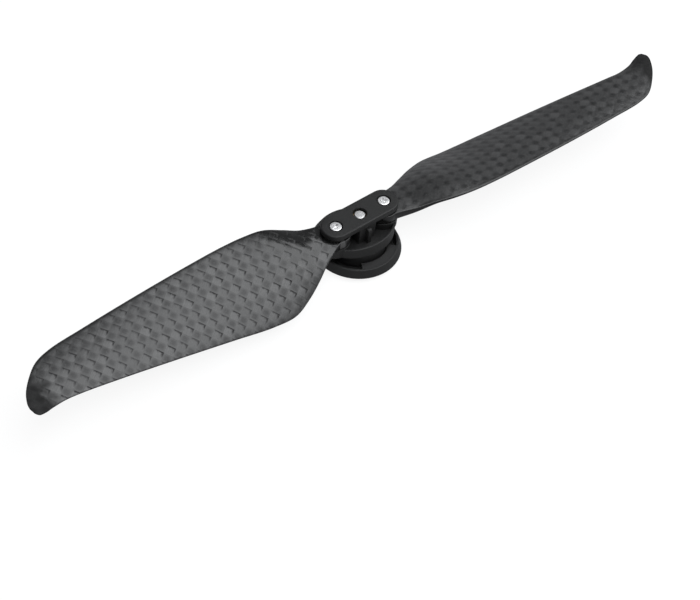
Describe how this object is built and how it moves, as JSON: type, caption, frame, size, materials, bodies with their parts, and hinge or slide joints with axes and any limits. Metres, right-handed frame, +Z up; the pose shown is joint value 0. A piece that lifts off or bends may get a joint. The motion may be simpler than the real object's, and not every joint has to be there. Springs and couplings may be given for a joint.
{
  "type": "folding drone propeller",
  "caption": "Folding carbon-weave propeller with curved tips, screwed hub and a press-and-twist mounting plate for an electric motor.",
  "frame": {"origin": "spin axis at the mounting plate's underside, the face that lies on the motor", "axes": "+Z up along the spin axis, away from the motor; +X from the hub towards the right blade; the propeller turns clockwise seen from +Z"},
  "size_m": [0.1829, 0.0231, 0.0156],
  "materials": {
    "carbon": "satin clear-coated plain-weave carbon fibre",
    "black_nylon": "satin black moulded nylon",
    "bright_steel": "bright plated screw heads",
    "steel": "ground steel",
    "brass": "turned brass",
    "pale_nylon": "natural low-friction nylon"
  },
  "bodies": {
    "mount": {"mounting_plate": "black_nylon", "centre_pin": "steel", "lift_spring": "steel"},
    "lift": {"lift_washer": "steel"},
    "hub": {"hub_base": "black_nylon", "centre_bush": "brass", "top_plate": "black_nylon", "pivot_screw_left": "bright_steel", "pivot_insert_left": "brass", "pivot_sleeve_left": "steel", "washer_lower_left": "pale_nylon", "washer_upper_left": "pale_nylon", "pivot_screw_right": "bright_steel", "pivot_insert_right": "brass", "pivot_sleeve_right": "steel", "washer_lower_right": "pale_nylon", "washer_upper_right": "pale_nylon"},
    "blade_left": {"blade_left": "carbon", "blade_bush_left": "pale_nylon"},
    "blade_right": {"blade_right": "carbon", "blade_bush_right": "pale_nylon"}
  },
  "joints": [
    {"name": "press_down", "type": "slide", "parent": "mount", "child": "lift", "axis": [0, 0, 1], "range_m": [-0.0005, 0], "stiffness_N_per_m": 2000, "springref_m": 0.0005, "deforming": ["lift_spring"]},
    {"name": "twist_lock", "type": "hinge", "parent": "lift", "child": "hub", "pos_m": [0, 0, 0], "axis": [0, 0, 1], "range_deg": [-36, 0]},
    {"name": "fold_left", "type": "hinge", "parent": "hub", "child": "blade_left", "pos_m": [-0.0071, 0, 0.009], "axis": [0, 0, 1], "range_deg": [-90, 90]},
    {"name": "fold_right", "type": "hinge", "parent": "hub", "child": "blade_right", "pos_m": [0.0071, 0, 0.009], "axis": [0, 0, 1], "range_deg": [-84.5, 95.5]}
  ]
}
